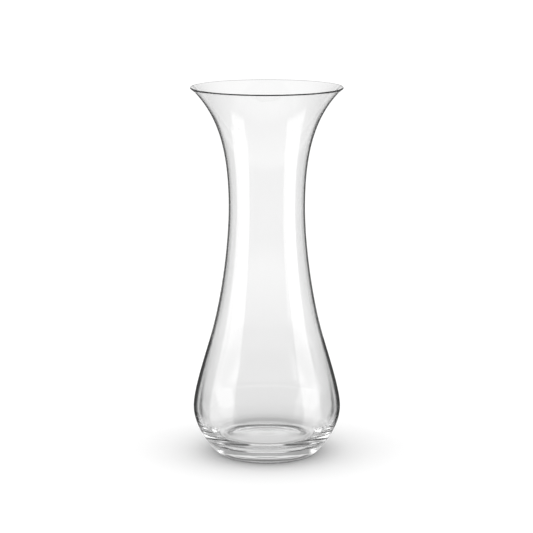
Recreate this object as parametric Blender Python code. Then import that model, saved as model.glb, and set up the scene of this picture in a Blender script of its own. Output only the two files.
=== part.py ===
"""Clear glass flower vase, blown in one piece.

A heavy foot with a shallow hollow beneath it carries a round belly, which draws in to a narrow
waist and opens again into a trumpet mouth with a rounded, fire-polished lip. The wall grows
thicker from the lip down to the belly and runs into a thick floor.

Metres, +Z up. The origin is on the vase's axis, on the plane that the foot stands on.
"""
import math

import bpy
from mathutils import Vector

MM = 0.001

# Driving dimensions, in millimetres. A lean is the angle of the wall above the horizontal,
# going up: under 90 degrees the wall opens outwards, over 90 degrees it closes in.
HEIGHT = 280.0

RIM_RADIUS = 57.2
LIP_RADIUS = 0.6
MOUTH_LEAN = 43.9

WAIST_RADIUS = 28.9
WAIST_HEIGHT = 189.5

SHOULDER_RADIUS = 43.5
SHOULDER_HEIGHT = 88.0
SHOULDER_LEAN = 106.5

BELLY_RADIUS = 56.3
BELLY_HEIGHT = 35.2

FOOT_LEAN = 47.9
FOOT_FILLET = 7.7
BEARING_OUTER_RADIUS = 35.3
BEARING_INNER_RADIUS = 32.9
PUNT_DEPTH = 1.8

FLOOR_HEIGHT = 11.8
FLOOR_RADIUS = 33.4
FLOOR_LEAN = 1.0
FLOOR_DISH = 0.2

LIP_WALL = 2.0 * LIP_RADIUS
WAIST_WALL = 1.05
SHOULDER_WALL = 1.45
BELLY_WALL = 2.7

# How far each stretch of wall runs on along its lean before it starts to curve away.
FOOT_PULL = 18.0
BELLY_PULL_BELOW = 7.5
BELLY_PULL_ABOVE = 11.5
SHOULDER_PULL_BELOW = 19.0
SHOULDER_PULL_ABOVE = 34.0
WAIST_PULL_BELOW = 25.0
WAIST_PULL_ABOVE = 46.0
MOUTH_PULL = 26.5
FLOOR_PULL = 15.7
INNER_WALL_PULL = 6.4

# Points along each stretch of the turned outline, and flats round the vase.
FILLET_STEPS = 4
BOWL_STEPS = 7
SHOULDER_STEPS = 5
NECK_STEPS = 7
MOUTH_STEPS = 8
LIP_STEPS = 2
FLOOR_STEPS = 3
ROUND_STEPS = 48

MERGE_DISTANCE = 0.00001

GLASS_COLOUR = (0.93, 0.95, 0.95, 1.0)
GLASS_ROUGHNESS = 0.02
GLASS_IOR = 1.52


def along(lean):
    """Unit direction of a wall that leans by this angle in degrees, going up."""
    angle = math.radians(lean)
    return Vector((math.cos(angle), math.sin(angle)))


def outward(lean):
    """Unit direction square to that wall, away from the vase's axis."""
    angle = math.radians(lean)
    return Vector((math.sin(angle), -math.cos(angle)))


def curve(start, start_pull, end, end_pull, steps):
    """Points of a cubic curve, start included and end left out. The pulls set both tangents."""
    points = []
    for step in range(steps):
        t = step / steps
        s = 1.0 - t
        points.append(
            s**3 * start
            + 3.0 * s * s * t * (start + start_pull)
            + 3.0 * s * t * t * (end - end_pull)
            + t**3 * end
        )
    return points


def arc(centre, radius, first, last, steps):
    """Points round an arc between two angles in degrees, the first included, the last left out."""
    points = []
    for step in range(steps):
        angle = math.radians(first + (last - first) * step / steps)
        points.append(centre + radius * Vector((math.cos(angle), math.sin(angle))))
    return points


def outer_wall():
    """The outside from the edge of the bearing ring up to the start of the lip."""
    fillet_centre = Vector((BEARING_OUTER_RADIUS, FOOT_FILLET))
    fillet_end = fillet_centre + FOOT_FILLET * outward(FOOT_LEAN)
    belly = Vector((BELLY_RADIUS, BELLY_HEIGHT))
    shoulder = Vector((SHOULDER_RADIUS, SHOULDER_HEIGHT))
    waist = Vector((WAIST_RADIUS, WAIST_HEIGHT))
    lip_start = lip_centre() + LIP_RADIUS * outward(MOUTH_LEAN)
    upright = along(90.0)

    points = arc(fillet_centre, FOOT_FILLET, -90.0, FOOT_LEAN - 90.0, FILLET_STEPS)
    foot_pull = FOOT_PULL * along(FOOT_LEAN)
    shoulder_pull_below = SHOULDER_PULL_BELOW * along(SHOULDER_LEAN)
    shoulder_pull_above = SHOULDER_PULL_ABOVE * along(SHOULDER_LEAN)
    mouth_pull = MOUTH_PULL * along(MOUTH_LEAN)
    points += curve(fillet_end, foot_pull, belly, BELLY_PULL_BELOW * upright, BOWL_STEPS)
    points += curve(
        belly, BELLY_PULL_ABOVE * upright, shoulder, shoulder_pull_below, SHOULDER_STEPS
    )
    points += curve(shoulder, shoulder_pull_above, waist, WAIST_PULL_BELOW * upright, NECK_STEPS)
    points += curve(waist, WAIST_PULL_ABOVE * upright, lip_start, mouth_pull, MOUTH_STEPS)
    points.append(lip_start)
    return points


def lip_centre():
    """Centre of the lip's round edge."""
    return Vector((RIM_RADIUS - LIP_RADIUS, HEIGHT - LIP_RADIUS))


def lip():
    """The half round over the lip, from the outside to the inside, by its widest and top points."""
    corners = (MOUTH_LEAN - 90.0, 0.0, 90.0, MOUTH_LEAN + 90.0)
    points = []
    for first, last in zip(corners, corners[1:]):
        points += arc(lip_centre(), LIP_RADIUS, first, last, LIP_STEPS)
    return points[1:]


def wall_thickness(height):
    """Thickness of the wall, which changes evenly from belly to shoulder, waist and lip."""
    stations = (
        (BELLY_HEIGHT, BELLY_WALL),
        (SHOULDER_HEIGHT, SHOULDER_WALL),
        (WAIST_HEIGHT, WAIST_WALL),
        (HEIGHT, LIP_WALL),
    )
    for (low, low_wall), (high, high_wall) in zip(stations, stations[1:]):
        if height <= high:
            share = (height - low) / (high - low)
            return low_wall + (high_wall - low_wall) * share
    return LIP_WALL


def inner_wall(outside):
    """The inside from the belly up to the lip: the outside, set in by the wall's thickness."""
    points = []
    for before, point, after in zip(outside, outside[1:], outside[2:]):
        if point.y < BELLY_HEIGHT - MERGE_DISTANCE:
            continue
        run = (after - before).normalized()
        inward = Vector((-run.y, run.x))
        points.append(point + wall_thickness(point.y) * inward)
    lip_end = lip_centre() - LIP_RADIUS * outward(MOUTH_LEAN)
    points.append(lip_end)
    return points


def floor_and_bowl(wall_start):
    """The inside from the middle of the floor out to the foot of the inner wall."""
    middle = Vector((0.0, FLOOR_HEIGHT - FLOOR_DISH))
    edge = Vector((FLOOR_RADIUS, FLOOR_HEIGHT))
    flat = Vector((FLOOR_RADIUS / 3.0, 0.0))
    points = curve(middle, flat, edge, flat, FLOOR_STEPS)
    floor_pull = FLOOR_PULL * along(FLOOR_LEAN)
    points += curve(edge, floor_pull, wall_start, INNER_WALL_PULL * along(90.0), BOWL_STEPS)
    return points


def punt():
    """The underside from the bearing ring's inner edge to the middle of the hollow."""
    ring = Vector((BEARING_INNER_RADIUS, 0.0))
    crown = Vector((0.0, PUNT_DEPTH))
    rise = Vector((-BEARING_INNER_RADIUS / 3.0, PUNT_DEPTH))
    level = Vector((-BEARING_INNER_RADIUS / 3.0, 0.0))
    return curve(ring, rise, crown, level, FLOOR_STEPS + 1) + [crown]


def turned_outline():
    """Half of the vase's section: out over the floor, up the inside and down the outside."""
    outside = outer_wall()
    inside = inner_wall(outside)
    outline = floor_and_bowl(inside[0])
    outline += inside
    outline += reversed(lip())
    outline += reversed(outside)
    outline += punt()
    return outline


def glass_material():
    """Clear soda-lime glass, blown and fire-polished."""
    material = bpy.data.materials.new("clear_glass")
    material.use_nodes = True
    shader = material.node_tree.nodes["Principled BSDF"]
    shader.inputs["Base Color"].default_value = GLASS_COLOUR
    shader.inputs["Roughness"].default_value = GLASS_ROUGHNESS
    shader.inputs["Metallic"].default_value = 0.0
    shader.inputs["IOR"].default_value = GLASS_IOR
    shader.inputs["Transmission Weight"].default_value = 1.0
    return material


def make_vase():
    """The whole vase: its outline turned once round the Z axis."""
    outline = turned_outline()
    points = [(point.x * MM, 0.0, point.y * MM) for point in outline]
    edges = [(index, index + 1) for index in range(len(points) - 1)]
    mesh = bpy.data.meshes.new("vase_body")
    mesh.from_pydata(points, edges, [])
    mesh.materials.append(glass_material())
    vase = bpy.data.objects.new("vase_body", mesh)
    bpy.context.scene.collection.objects.link(vase)

    turning = vase.modifiers.new("turning", "SCREW")
    turning.axis = "Z"
    turning.angle = math.tau
    turning.steps = ROUND_STEPS
    turning.render_steps = ROUND_STEPS
    turning.use_merge_vertices = True
    turning.merge_threshold = MERGE_DISTANCE
    turning.use_smooth_shade = True


for thing in list(bpy.data.objects):
    bpy.data.objects.remove(thing, do_unlink=True)

make_vase()
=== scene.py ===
import math

import bpy
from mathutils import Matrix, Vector


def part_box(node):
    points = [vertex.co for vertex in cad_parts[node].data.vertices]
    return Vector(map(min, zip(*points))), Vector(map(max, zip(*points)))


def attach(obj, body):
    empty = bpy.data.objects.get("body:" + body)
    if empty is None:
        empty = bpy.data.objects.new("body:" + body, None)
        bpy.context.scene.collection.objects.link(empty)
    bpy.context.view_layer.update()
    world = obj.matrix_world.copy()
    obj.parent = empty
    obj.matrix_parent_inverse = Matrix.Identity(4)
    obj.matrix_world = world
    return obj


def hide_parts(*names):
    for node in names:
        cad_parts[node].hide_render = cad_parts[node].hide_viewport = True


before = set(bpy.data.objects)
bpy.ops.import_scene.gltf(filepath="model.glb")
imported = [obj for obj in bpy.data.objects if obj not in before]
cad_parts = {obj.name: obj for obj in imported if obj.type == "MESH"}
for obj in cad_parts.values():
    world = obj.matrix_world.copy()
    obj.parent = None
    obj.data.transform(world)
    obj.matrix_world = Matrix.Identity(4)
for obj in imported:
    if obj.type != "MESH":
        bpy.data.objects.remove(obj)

# Clear glass flower vase, blown in one piece, on the pale floor of a studio.
# Lengths are in metres and angles in degrees. A lean is the angle of a wall above the horizontal,
# going up: under 90 degrees the wall opens outwards, over 90 degrees it closes in.

MM = 0.001
UP = Vector((0.0, 0.0, 1.0))
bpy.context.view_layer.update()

# ------------------------------------------------------------------------- sizes of the glass

GLASS_LOW, GLASS_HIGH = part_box("vase_body")
HEIGHT = GLASS_HIGH.z - GLASS_LOW.z
RIM_RADIUS = (GLASS_HIGH.x - GLASS_LOW.x) / 2.0

LIP_RADIUS, MOUTH_LEAN = 0.6 * MM, 43.9
WAIST_RADIUS, WAIST_HEIGHT = 28.9 * MM, 189.5 * MM
SHOULDER_RADIUS, SHOULDER_HEIGHT, SHOULDER_LEAN = 43.5 * MM, 88.0 * MM, 106.5
BELLY_RADIUS, BELLY_HEIGHT = 56.3 * MM, 35.2 * MM
FOOT_LEAN, FOOT_FILLET = 47.9, 7.7 * MM
BEARING_OUTER, BEARING_INNER, PUNT_DEPTH = 35.3 * MM, 32.9 * MM, 1.8 * MM
FLOOR_HEIGHT, FLOOR_RADIUS, FLOOR_LEAN, FLOOR_DISH = 11.8 * MM, 33.4 * MM, 1.0, 0.2 * MM
WAIST_WALL, SHOULDER_WALL, BELLY_WALL = 1.05 * MM, 1.45 * MM, 2.7 * MM

# How hard each stretch of wall is pulled along its lean where it starts and ends. The longer the
# pull, the more slowly the wall curves away from that lean.
FOOT_PULL = 18.0 * MM
BELLY_PULL_BELOW, BELLY_PULL_ABOVE = 7.5 * MM, 11.5 * MM
SHOULDER_PULL_BELOW, SHOULDER_PULL_ABOVE = 19.0 * MM, 34.0 * MM
WAIST_PULL_BELOW, WAIST_PULL_ABOVE = 25.0 * MM, 46.0 * MM
MOUTH_PULL = 26.5 * MM
FLOOR_PULL, INNER_WALL_PULL = 15.7 * MM, 6.4 * MM

# Radius, half width and rise of each faint ring in the floor. A ring with a negative rise is a
# groove.
FLOOR_RINGS = (
    (6.0 * MM, 3.0 * MM, 0.03 * MM),
    (19.0 * MM, 2.4 * MM, 0.03 * MM),
    (26.2 * MM, 2.6 * MM, -0.05 * MM),
    (33.4 * MM, 2.0 * MM, -0.15 * MM),
    (39.5 * MM, 2.2 * MM, -0.06 * MM),
)

# The waves of blown glass, and the wear of the ring that the vase stands on.
WAVE_LENGTH, WAVE_HEIGHT = 40.0 * MM, 0.03 * MM
WEAR_HEIGHT, WORN_ROUGHNESS, SCUFF_SIZE = 0.5 * MM, 0.5, 1.5 * MM

# Points along each stretch of the turned outline, and flats round the vase.
FILLET_STEPS, FOOT_STEPS, BELLY_STEPS, NECK_STEPS, MOUTH_STEPS = 10, 28, 24, 28, 32
LIP_STEPS, PUNT_STEPS, FLOOR_STEPS, BOWL_STEPS = 5, 20, 90, 56
ROUND_STEPS = 192
MERGE_DISTANCE = 0.001 * MM

# ------------------------------------------------------------------------- the studio

CAMERA_PLACE, CAMERA_TILT = Vector((-0.00027, -1.4386, 0.4261)), 11.11
CAMERA_LENS, CAMERA_SENSOR = 130.6, 36.0

# The floor lies a hair under the vase, so that paper and glass don't share a plane.
STAGE_SIZE, STAGE_DROP = 20.0, 0.2 * MM

# The softboxes light the floor. Each is a name, its degrees round to the left from the camera, and
# its width. They stand on the floor.
FLOOR_SOFTBOXES = (("left_softbox", 81.0, 1.02), ("right_softbox", -80.0, 0.73))
SOFTBOX_DISTANCE, SOFTBOX_TOP, SOFTBOX_RADIANCE = 1.0, 1.2, 0.6

# The studio is not one room. The camera sees a plain background, the floor is lit by one even
# brightness, or by a lower one where the light comes through the glass, and the glass shows the
# tables below.
BACKGROUND, ROOM_ON_FLOOR, ROOM_THROUGH_GLASS = 1.1, 1.22, 0.3

# What the glass mirrors, by degrees from the middle of the backdrop, positive to the right: a white
# backdrop, a black flag and then a white card on each side of it, grey walls, and the dark room
# behind the camera.
MIRRORED_ROOM = (
    (-180.0, 0.25), (-112.0, 0.25), (-108.0, 0.45), (-75.0, 0.45), (-60.0, 0.4), (-50.0, 0.4),
    (-46.0, 0.9), (-37.5, 0.9), (-35.0, 0.08), (-12.0, 0.08), (-10.0, 1.0), (10.0, 1.0),
    (12.0, 0.08), (35.0, 0.08), (37.5, 0.9), (46.0, 0.9), (50.0, 0.4), (60.0, 0.4),
    (75.0, 0.45), (108.0, 0.45), (112.0, 0.25), (180.0, 0.25),
)
# The softboxes that the glass mirrors: 1 where they are, by the same degrees, and by height.
MIRRORED_SOFTBOXES = (
    (-180.0, 0.0), (-128.0, 0.0), (-124.0, 1.0), (-80.0, 1.0), (-76.0, 0.0),
    (84.0, 0.0), (88.0, 1.0), (118.0, 1.0), (122.0, 0.0), (180.0, 0.0),
)
SOFTBOX_HEIGHTS = (
    (-1.0, 0.0), (-0.76, 0.0), (-0.66, 0.25), (-0.54, 1.0), (0.5, 1.0), (0.6, 0.0), (1.0, 0.0),
)
SOFTBOX_BRIGHTNESS = 1.7
# What shows straight through the glass, by degrees from the middle of the nearest of eight white
# panels that stand round the vase: the panel, and the dark gap before the next one.
PANELS = ((0.0, 1.0), (1.5, 1.0), (5.0, 0.9), (9.0, 0.72), (11.5, 0.08), (22.5, 0.08))
# Heights are the sine of the angle that one looks up. Brightness by height: the floor, the
# backdrop, a dark gap over it, a light bar, and the ceiling. The floor is darker where one looks
# steeply down at it: painted shade that stands in for the vase's own shadow on the floor under
# and behind it, as the glass shows it.
HEIGHTS = (
    (-1.0, 0.85), (-0.93, 0.70), (-0.85, 0.42), (-0.65, 0.56), (-0.48, 0.77), (-0.27, 0.90),
    (-0.20, 1.03), (0.11, 1.03), (0.15, 0.15), (0.25, 0.15), (0.265, 0.85), (0.29, 0.85),
    (0.30, 0.35), (1.0, 0.45),
)
# Where nothing stands round the vase: 1 above the panels and walls, and on the floor before them.
OPEN_HEIGHTS = ((-1.0, 1.0), (-0.46, 1.0), (-0.36, 0.0), (0.07, 0.0), (0.12, 1.0), (1.0, 1.0))
# The light bar hangs over the backdrop only, so on the camera's side no height counts as more than
# this one. The change is a soft one, this far to each side of the vase's middle.
HEIGHT_BY_CAMERA, SIDE_BLUR = 0.05, 0.02

# The light in the thick base is mirrored many times before it leaves.
BOUNCES, GLASS_BOUNCES = 32, 24


# ------------------------------------------------------------------------- the turned outline


def along(lean):
    """Unit direction of a wall that leans by this angle, going up."""
    angle = math.radians(lean)
    return Vector((math.cos(angle), 0.0, math.sin(angle)))


def outward(lean):
    """Unit direction square to that wall, away from the vase's axis."""
    angle = math.radians(lean)
    return Vector((math.sin(angle), 0.0, -math.cos(angle)))


def curve(start, start_pull, end, end_pull, steps):
    """Points of a cubic curve, the start included, the end left out. The pulls set its tangents."""
    points = []
    for step in range(steps):
        t = step / steps
        s = 1.0 - t
        points.append(
            s**3 * start
            + 3.0 * s * s * t * (start + start_pull)
            + 3.0 * s * t * t * (end - end_pull)
            + t**3 * end
        )
    return points


def arc(centre, radius, first, last, steps):
    """Points round an arc between two angles, the first included, the last left out."""
    points = []
    for step in range(steps):
        angle = math.radians(first + (last - first) * step / steps)
        points.append(centre + radius * Vector((math.cos(angle), 0.0, math.sin(angle))))
    return points


def lip_centre():
    """Centre of the lip's round edge."""
    return Vector((RIM_RADIUS - LIP_RADIUS, 0.0, HEIGHT - LIP_RADIUS))


def outer_wall():
    """The outside, from the edge of the bearing ring up to the start of the lip."""
    fillet_centre = Vector((BEARING_OUTER, 0.0, FOOT_FILLET))
    fillet_end = fillet_centre + FOOT_FILLET * outward(FOOT_LEAN)
    belly = Vector((BELLY_RADIUS, 0.0, BELLY_HEIGHT))
    shoulder = Vector((SHOULDER_RADIUS, 0.0, SHOULDER_HEIGHT))
    waist = Vector((WAIST_RADIUS, 0.0, WAIST_HEIGHT))
    lip_start = lip_centre() + LIP_RADIUS * outward(MOUTH_LEAN)

    foot_pull = FOOT_PULL * along(FOOT_LEAN)
    shoulder_pull_below = SHOULDER_PULL_BELOW * along(SHOULDER_LEAN)
    shoulder_pull_above = SHOULDER_PULL_ABOVE * along(SHOULDER_LEAN)
    mouth_pull = MOUTH_PULL * along(MOUTH_LEAN)

    points = arc(fillet_centre, FOOT_FILLET, -90.0, FOOT_LEAN - 90.0, FILLET_STEPS)
    points += curve(fillet_end, foot_pull, belly, BELLY_PULL_BELOW * UP, FOOT_STEPS)
    points += curve(belly, BELLY_PULL_ABOVE * UP, shoulder, shoulder_pull_below, BELLY_STEPS)
    points += curve(shoulder, shoulder_pull_above, waist, WAIST_PULL_BELOW * UP, NECK_STEPS)
    points += curve(waist, WAIST_PULL_ABOVE * UP, lip_start, mouth_pull, MOUTH_STEPS)
    points.append(lip_start)
    return points


def lip():
    """The half round over the lip, from the outside to the inside."""
    corners = (MOUTH_LEAN - 90.0, 0.0, 90.0, MOUTH_LEAN + 90.0)
    points = []
    for first, last in zip(corners, corners[1:]):
        points += arc(lip_centre(), LIP_RADIUS, first, last, LIP_STEPS)
    return points[1:]


def wall_thickness(height):
    """Thickness of the wall, which changes evenly from belly to shoulder, waist and lip."""
    lip_wall = 2.0 * LIP_RADIUS
    stations = (
        (BELLY_HEIGHT, BELLY_WALL),
        (SHOULDER_HEIGHT, SHOULDER_WALL),
        (WAIST_HEIGHT, WAIST_WALL),
        (HEIGHT, lip_wall),
    )
    for (low, low_wall), (high, high_wall) in zip(stations, stations[1:]):
        if height <= high:
            share = (height - low) / (high - low)
            return low_wall + (high_wall - low_wall) * share
    return lip_wall


def inner_wall(outside):
    """The inside from the belly up to the lip: the outside, set in by the wall's thickness."""
    points = []
    for before, point, after in zip(outside, outside[1:], outside[2:]):
        if point.z < BELLY_HEIGHT - MERGE_DISTANCE:
            continue
        run = (after - before).normalized()
        inward = Vector((-run.z, 0.0, run.x))
        points.append(point + wall_thickness(point.z) * inward)
    points.append(lip_centre() - LIP_RADIUS * outward(MOUTH_LEAN))
    return points


def ring_rise(radius):
    """How far the faint rings that the turning mould left lift the floor at this radius."""
    rise = 0.0
    for middle, half_width, ring_height in FLOOR_RINGS:
        share = abs(radius - middle) / half_width
        if share < 1.0:
            rise += ring_height * math.cos(share * math.pi / 2.0) ** 2
    return rise


def floor_and_bowl(wall_start):
    """The inside from the middle of the floor out to the foot of the inner wall."""
    middle = Vector((0.0, 0.0, FLOOR_HEIGHT - FLOOR_DISH))
    edge = Vector((FLOOR_RADIUS, 0.0, FLOOR_HEIGHT))
    level = Vector((FLOOR_RADIUS / 3.0, 0.0, 0.0))
    floor_pull = FLOOR_PULL * along(FLOOR_LEAN)
    points = curve(middle, level, edge, level, FLOOR_STEPS)
    points += curve(edge, floor_pull, wall_start, INNER_WALL_PULL * UP, BOWL_STEPS)
    return [point + ring_rise(point.x) * UP for point in points]


def punt():
    """The underside, from the bearing ring's inner edge to the middle of the hollow."""
    ring = Vector((BEARING_INNER, 0.0, 0.0))
    crown = Vector((0.0, 0.0, PUNT_DEPTH))
    rise = Vector((-BEARING_INNER / 3.0, 0.0, PUNT_DEPTH))
    level = Vector((-BEARING_INNER / 3.0, 0.0, 0.0))
    return curve(ring, rise, crown, level, PUNT_STEPS) + [crown]


def turned_outline():
    """Half of the vase's section: out over the floor, up the inside, down the outside, and in."""
    outside = outer_wall()
    inside = inner_wall(outside)
    outline = floor_and_bowl(inside[0])
    outline += inside
    outline += reversed(lip())
    outline += reversed(outside)
    outline += punt()
    return outline


def make_vase():
    """One point is extruded along the outline, and the outline is spun round the vase's axis."""
    outline = turned_outline()
    bpy.ops.object.select_all(action="DESELECT")
    bpy.ops.mesh.primitive_plane_add(size=MM, location=outline[0])
    vase = bpy.context.active_object
    vase.name = vase.data.name = "blown_glass_body"
    bpy.ops.object.transform_apply(location=True, rotation=True, scale=True)
    bpy.ops.object.mode_set(mode="EDIT")
    bpy.ops.mesh.merge(type="CENTER")
    for before, after in zip(outline, outline[1:]):
        bpy.ops.mesh.extrude_vertices_move(TRANSFORM_OT_translate={"value": after - before})
    bpy.ops.mesh.select_all(action="SELECT")
    bpy.ops.mesh.spin(steps=ROUND_STEPS, angle=math.tau, center=(0.0, 0.0, 0.0), axis=UP)
    bpy.ops.mesh.select_all(action="SELECT")
    bpy.ops.mesh.remove_doubles(threshold=MERGE_DISTANCE)
    bpy.ops.mesh.normals_make_consistent(inside=False)
    bpy.ops.object.mode_set(mode="OBJECT")
    bpy.ops.object.shade_smooth()
    return vase


# ------------------------------------------------------------------------- the glass


def linear(hex_colour):
    """Turns an sRGB hex colour to linear."""
    channels = []
    for start in (1, 3, 5):
        value = int(hex_colour[start : start + 2], 16) / 255.0
        channels.append(value / 12.92 if value <= 0.04045 else ((value + 0.055) / 1.055) ** 2.4)
    return (*channels, 1.0)


def grey(brightness):
    """A level of light without colour."""
    return (brightness, brightness, brightness, 1.0)


def add_node(tree, kind, settings, inputs, stops=()):
    """Adds a node and gives its outputs. Each input is a value or an output of another node.

    The stops of a scale are places and brightnesses, from place 0 to place 1.
    """
    node = tree.nodes.new(kind)
    for name, value in settings.items():
        setattr(node, name, value)
    for place, brightness in stops[1:-1]:
        node.color_ramp.elements.new(place)
    for number, (place, brightness) in enumerate(stops):
        node.color_ramp.elements[number].color = grey(brightness)
    for name, value in inputs.items():
        if isinstance(value, bpy.types.NodeSocket):
            tree.links.new(value, node.inputs[name])
        else:
            node.inputs[name].default_value = value
    return node.outputs


def blown_clear_glass():
    """Clear soda-lime glass, blown in a turning mould and fire-polished.

    It is smooth and all but colourless, so its look is in how it bends and mirrors the studio.
    """
    material = bpy.data.materials.new("blown_clear_glass")
    material.use_nodes = True
    tree = material.node_tree
    shader = tree.nodes["Principled BSDF"]
    shader.inputs["Base Color"].default_value = linear("#FEFEFE")
    shader.inputs["IOR"].default_value = 1.52
    shader.inputs["Transmission Weight"].default_value = 1.0
    place = add_node(tree, "ShaderNodeTexCoord", {}, {})["Object"]

    # Blowing leaves long, very shallow waves in the wall. They make the edges of reflections waver.
    waves = add_node(
        tree, "ShaderNodeTexNoise", {},
        {"Vector": place, "Scale": 1.0 / WAVE_LENGTH, "Detail": 1.0},
    )["Fac"]
    waved = add_node(
        tree, "ShaderNodeBump", {}, {"Distance": WAVE_HEIGHT, "Height": waves}
    )["Normal"]
    tree.links.new(waved, shader.inputs["Normal"])

    # Tables scuff the ring that the vase stands on, so it is the only part that looks frosted.
    height = add_node(tree, "ShaderNodeSeparateXYZ", {}, {"Vector": place})["Z"]
    worn = add_node(
        tree, "ShaderNodeMapRange", {},
        {"Value": height, "From Min": 0.0, "From Max": WEAR_HEIGHT,
         "To Min": WORN_ROUGHNESS, "To Max": 0.0},
    )["Result"]
    scuffs = add_node(
        tree, "ShaderNodeTexNoise", {},
        {"Vector": place, "Scale": 1.0 / SCUFF_SIZE, "Detail": 3.0},
    )["Fac"]
    roughness = add_node(tree, "ShaderNodeMath", {"operation": "MULTIPLY"}, {0: worn, 1: scuffs})[0]
    tree.links.new(roughness, shader.inputs["Roughness"])
    return material


# ------------------------------------------------------------------------- the studio's pieces


def matt_white_sweep():
    """White background paper with an uncoated face. It has no shine, so it only takes shadows."""
    material = bpy.data.materials.new("matt_white_sweep")
    material.use_nodes = True
    shader = material.node_tree.nodes["Principled BSDF"]
    shader.inputs["Base Color"].default_value = linear("#F3F3F3")
    shader.inputs["Roughness"].default_value = 0.9
    shader.inputs["Specular IOR Level"].default_value = 0.0
    return material


def make_floor():
    """The paper that the vase stands on. The glass shows the floor that is in the world instead."""
    bpy.ops.object.select_all(action="DESELECT")
    bpy.ops.mesh.primitive_plane_add(size=STAGE_SIZE, location=-STAGE_DROP * UP)
    floor = bpy.context.active_object
    floor.name = "studio_floor"
    floor.data.materials.append(matt_white_sweep())
    floor.visible_glossy = False
    floor.visible_transmission = False


def brightness_by(tree, reading, table):
    """Looks up a reading, such as a direction, in a table of places and brightnesses."""
    low, high = table[0][0], table[-1][0]
    share = add_node(
        tree, "ShaderNodeMapRange", {}, {"Value": reading, "From Min": low, "From Max": high}
    )["Result"]
    stops = [((place - low) / (high - low), brightness) for place, brightness in table]
    return add_node(tree, "ShaderNodeValToRGB", {}, {"Fac": share}, stops)["Color"]


def room_round_the_glass(tree, path):
    """What the glass shows in each direction: the panels straight through it, or, once a ray has
    been mirrored in it, the mirrored room and softboxes.
    """
    direction = add_node(tree, "ShaderNodeTexCoord", {}, {})["Generated"]
    axes = add_node(tree, "ShaderNodeSeparateXYZ", {}, {"Vector": direction})
    across, away, height = axes["X"], axes["Y"], axes["Z"]
    turn = add_node(tree, "ShaderNodeMath", {"operation": "ARCTAN2"}, {0: across, 1: away})[0]
    degrees = add_node(tree, "ShaderNodeMath", {"operation": "DEGREES"}, {0: turn})[0]
    mirrored = add_node(
        tree, "ShaderNodeMath", {"operation": "GREATER_THAN"}, {0: path["Glossy Depth"], 1: 0.5}
    )[0]

    half_spacing = PANELS[-1][0]
    from_panel = add_node(
        tree, "ShaderNodeMath", {"operation": "PINGPONG"}, {0: degrees, 1: half_spacing}
    )[0]
    panels = brightness_by(tree, from_panel, PANELS)
    mirrored_room = brightness_by(tree, degrees, MIRRORED_ROOM)
    room = add_node(
        tree, "ShaderNodeMix", {"data_type": "RGBA"},
        {"Factor": mirrored, 6: panels, 7: mirrored_room},
    )[2]

    height_limit = add_node(
        tree, "ShaderNodeMapRange", {},
        {"Value": away, "From Min": -SIDE_BLUR, "From Max": SIDE_BLUR,
         "To Min": HEIGHT_BY_CAMERA, "To Max": 1.0},
    )["Result"]
    limited_height = add_node(
        tree, "ShaderNodeMath", {"operation": "MINIMUM"}, {0: height, 1: height_limit}
    )[0]
    # The floor part of this height table is painted shade: the vase's shadow under and behind it.
    by_height = brightness_by(tree, limited_height, HEIGHTS)
    open_space = brightness_by(tree, limited_height, OPEN_HEIGHTS)
    room = add_node(
        tree, "ShaderNodeMix", {"data_type": "RGBA"}, {"Factor": open_space, 6: room, 7: grey(1.0)}
    )[2]
    room = add_node(
        tree, "ShaderNodeMix", {"data_type": "RGBA", "blend_type": "MULTIPLY"},
        {"Factor": 1.0, 6: room, 7: by_height},
    )[2]

    around = brightness_by(tree, degrees, MIRRORED_SOFTBOXES)
    upright = brightness_by(tree, height, SOFTBOX_HEIGHTS)
    softboxes = add_node(tree, "ShaderNodeMath", {"operation": "MULTIPLY"}, {0: around, 1: upright})
    softboxes = add_node(
        tree, "ShaderNodeMath", {"operation": "MULTIPLY"}, {0: softboxes[0], 1: mirrored}
    )[0]
    return add_node(
        tree, "ShaderNodeMix", {"data_type": "RGBA"},
        {"Factor": softboxes, 6: room, 7: grey(SOFTBOX_BRIGHTNESS)},
    )[2]


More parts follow.
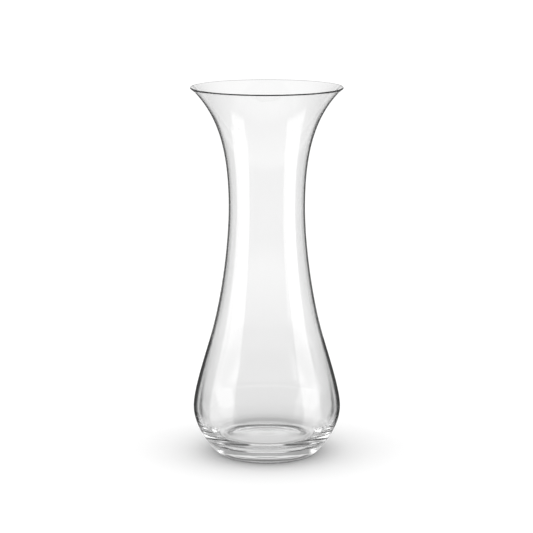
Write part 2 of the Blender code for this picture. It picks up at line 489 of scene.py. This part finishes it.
def make_world():
    """What the glass shows, the even light on the floor, and the white background."""
    world = bpy.data.worlds.new("studio")
    bpy.context.scene.world = world
    world.use_nodes = True
    # Rays meet the world only where they fly into it, because what they see depends on their path.
    world.cycles.sampling_method = "NONE"
    tree = world.node_tree
    path = add_node(tree, "ShaderNodeLightPath", {}, {})
    room = room_round_the_glass(tree, path)
    on_floor = add_node(
        tree, "ShaderNodeMapRange", {},
        {"Value": path["Is Diffuse Ray"], "To Min": ROOM_THROUGH_GLASS, "To Max": ROOM_ON_FLOOR},
    )["Result"]
    from_floor = add_node(
        tree, "ShaderNodeMath", {"operation": "GREATER_THAN"}, {0: path["Diffuse Depth"], 1: 0.5}
    )[0]
    room = add_node(
        tree, "ShaderNodeMix", {"data_type": "RGBA"}, {"Factor": from_floor, 6: room, 7: on_floor}
    )[2]
    light = add_node(
        tree, "ShaderNodeMix", {"data_type": "RGBA"},
        {"Factor": path["Is Camera Ray"], 6: room, 7: grey(BACKGROUND)},
    )[2]
    tree.links.new(light, tree.nodes["Background"].inputs["Color"])


def make_floor_softbox(name, azimuth, width):
    """A flat light that stands on the floor and faces the vase. The glass doesn't show it."""
    angle = math.radians(azimuth)
    away = Vector((-math.sin(angle), -math.cos(angle), 0.0))
    place = away * SOFTBOX_DISTANCE + UP * SOFTBOX_TOP / 2.0
    bpy.ops.object.light_add(type="AREA", location=place)
    lamp = bpy.context.active_object
    lamp.name = name
    lamp.data.shape = "RECTANGLE"
    lamp.data.size = width
    lamp.data.size_y = SOFTBOX_TOP
    lamp.data.energy = SOFTBOX_RADIANCE * math.pi * width * SOFTBOX_TOP
    lamp.rotation_mode = "QUATERNION"
    lamp.rotation_quaternion = away.to_track_quat("Z", "Y")
    lamp.visible_camera = False
    lamp.visible_transmission = False
    lamp.visible_glossy = False


def make_camera():
    """The camera stands before the vase, a little above it, and looks down at its middle."""
    bpy.ops.object.camera_add(location=CAMERA_PLACE)
    camera = bpy.context.active_object
    camera.rotation_euler = (math.radians(90.0 - CAMERA_TILT), 0.0, 0.0)
    camera.data.sensor_width = CAMERA_SENSOR
    camera.data.lens = CAMERA_LENS
    bpy.context.scene.camera = camera


# ------------------------------------------------------------------------- the scene

make_camera()
vase = make_vase()
vase.data.materials.append(blown_clear_glass())
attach(vase, "root")
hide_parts("vase_body")

make_floor()
make_world()
for name, azimuth, width in FLOOR_SOFTBOXES:
    make_floor_softbox(name, azimuth, width)

scene = bpy.context.scene
scene.view_settings.view_transform = "Standard"
scene.cycles.max_bounces = BOUNCES
scene.cycles.glossy_bounces = GLASS_BOUNCES
scene.cycles.transmission_bounces = GLASS_BOUNCES
